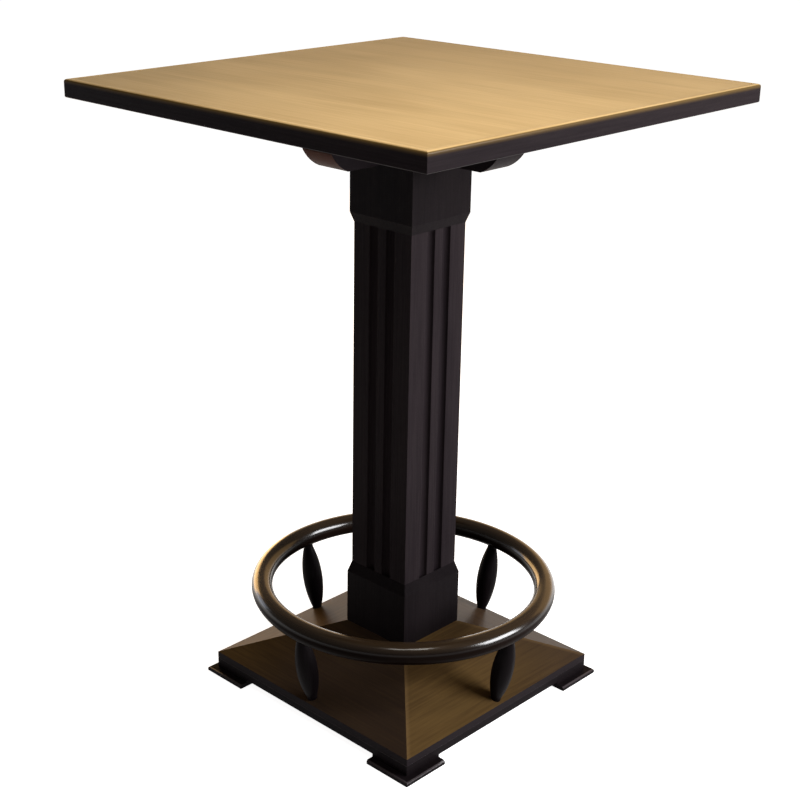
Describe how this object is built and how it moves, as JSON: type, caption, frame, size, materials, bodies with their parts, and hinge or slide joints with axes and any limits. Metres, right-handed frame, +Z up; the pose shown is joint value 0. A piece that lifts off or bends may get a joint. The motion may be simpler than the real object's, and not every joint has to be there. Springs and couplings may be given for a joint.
{
  "type": "pub table",
  "caption": "Tall square pub table: a veneered top on cross bearers and a fluted box column, with a hipped base, corner feet and a round foot ring on turned spindles.",
  "frame": {"origin": "on the floor under the middle of the column", "axes": "+Z up to the table surface, +X and +Y square to the sides of the top, -Y is the side named front"},
  "size_m": [0.8, 0.8, 1.1],
  "materials": {
    "face_veneer": "satin lacquer over light golden brown veneer",
    "core_board": "raw board",
    "backing": "dark stained balancing sheet",
    "edge_wood": "near black brown stain, satin lacquer",
    "bearer_wood": "dark brown stain, satin",
    "column_wood": "near black brown stain, satin lacquer",
    "base_wood": "dark brown stain, gloss lacquer",
    "ring_wood": "dark brown stain, gloss lacquer",
    "spindle_wood": "near black brown stain, satin lacquer",
    "inner_wood": "planed, unfinished",
    "steel": "zinc plated"
  },
  "bodies": {
    "root": {"top_veneer": "face_veneer", "top_core": "core_board", "top_backing_sheet": "backing", "lipping_front": "edge_wood", "lipping_right": "edge_wood", "lipping_back": "edge_wood", "lipping_left": "edge_wood", "bearer_lower": "bearer_wood", "bearer_upper": "bearer_wood", "bearer_screws": "steel", "column_board_front": "column_wood", "column_board_right": "column_wood", "column_board_back": "column_wood", "column_board_left": "column_wood", "capital_board_front": "column_wood", "capital_board_right": "column_wood", "capital_board_back": "column_wood", "capital_board_left": "column_wood", "plinth_board_front": "column_wood", "plinth_board_right": "column_wood", "plinth_board_back": "column_wood", "plinth_board_left": "column_wood", "column_head_block": "inner_wood", "column_foot_block": "inner_wood", "tie_rod": "steel", "tie_nuts": "steel", "tie_washers": "steel", "base_panel_front": "base_wood", "base_panel_right": "base_wood", "base_panel_back": "base_wood", "base_panel_left": "base_wood", "base_rail_front": "edge_wood", "base_rail_right": "edge_wood", "base_rail_back": "edge_wood", "base_rail_left": "edge_wood", "base_board": "inner_wood", "hip_rib_front_right": "inner_wood", "hip_rib_back_right": "inner_wood", "hip_rib_back_left": "inner_wood", "hip_rib_front_left": "inner_wood", "foot_riser_front_right": "edge_wood", "foot_riser_back_right": "edge_wood", "foot_riser_back_left": "edge_wood", "foot_riser_front_left": "edge_wood", "foot_slab_front_right": "edge_wood", "foot_slab_back_right": "edge_wood", "foot_slab_back_left": "edge_wood", "foot_slab_front_left": "edge_wood", "foot_screws": "steel", "ring_segment_front": "ring_wood", "ring_segment_right": "ring_wood", "ring_segment_back": "ring_wood", "ring_segment_left": "ring_wood", "ring_dowels": "inner_wood", "spindle_front": "spindle_wood", "spindle_right": "spindle_wood", "spindle_back": "spindle_wood", "spindle_left": "spindle_wood"}
  },
  "joints": []
}
